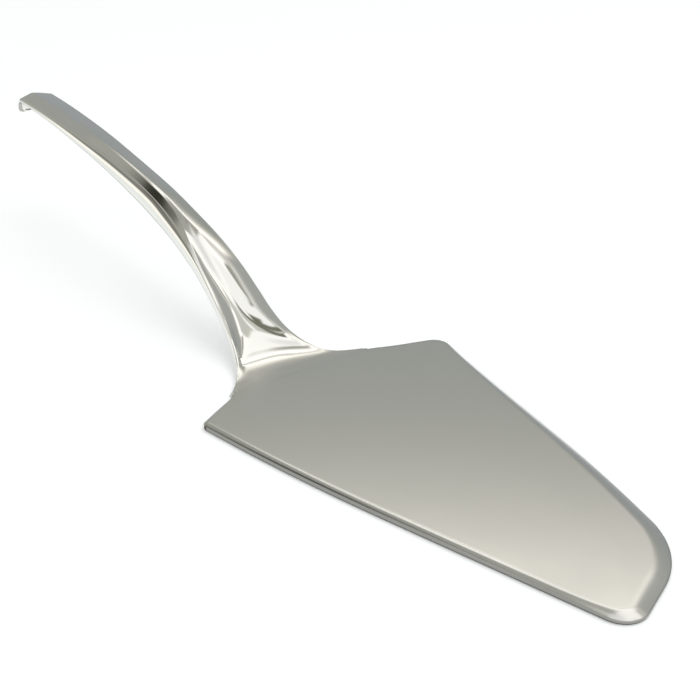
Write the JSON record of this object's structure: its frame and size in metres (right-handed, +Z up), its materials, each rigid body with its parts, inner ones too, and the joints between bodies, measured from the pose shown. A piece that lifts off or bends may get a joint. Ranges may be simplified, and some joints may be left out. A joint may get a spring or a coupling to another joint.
{
  "type": "cake server",
  "caption": "Sheet-steel cake server with a flat one-sided blade, a creased open handle rising from the heel and a bent-down lip.",
  "frame": {"origin": "middle of the bounding box's bottom face, in the plane of the blade's underside", "axes": "+X along the tool to the blade's tip, +Y to the curved edge, +Z up"},
  "size_m": [0.2424, 0.067, 0.0401],
  "materials": {
    "blade_steel": "polished with a fine satin haze",
    "handle_steel": "mirror polished",
    "weld_steel": "ground flush and polished"
  },
  "bodies": {
    "root": {"blade": "blade_steel", "handle": "handle_steel", "heel_weld": "weld_steel"}
  },
  "joints": []
}
